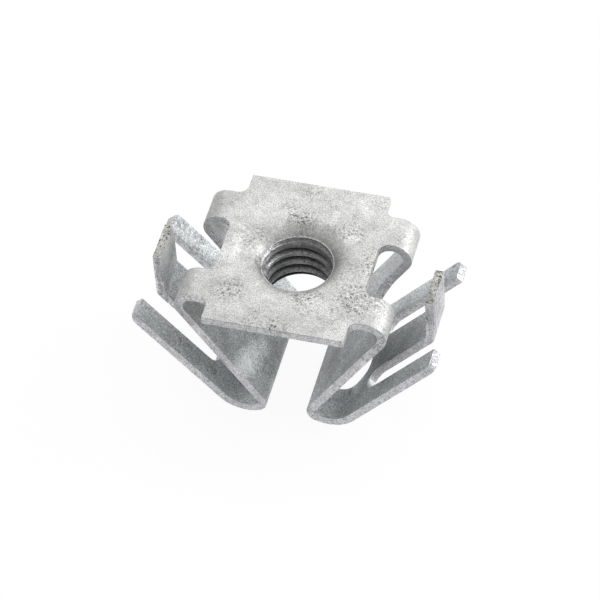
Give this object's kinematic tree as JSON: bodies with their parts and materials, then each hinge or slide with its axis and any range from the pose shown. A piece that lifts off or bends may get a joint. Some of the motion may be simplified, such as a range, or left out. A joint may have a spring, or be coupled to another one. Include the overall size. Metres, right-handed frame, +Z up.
{
  "type": "extruded nut",
  "caption": "Spring nut folded from one strip of galvanised sheet: a plate with a tapped collar drawn down out of it, and two folded legs that rise again as slotted arms.",
  "frame": {"origin": "on the surface that the two feet stand on, under the axis of the tapped hole", "axes": "+Z up along the tapped hole's axis, from the feet to the plate's flat top; X from side bend to side bend, along the arms; Y along the plate, between its two free ends"},
  "size_m": [0.0318, 0.0198, 0.017],
  "materials": {
    "zinc": "matt galvanised zinc, mottled, with brighter sheared edges"
  },
  "bodies": {
    "root": {"nut": "zinc"}
  },
  "joints": []
}
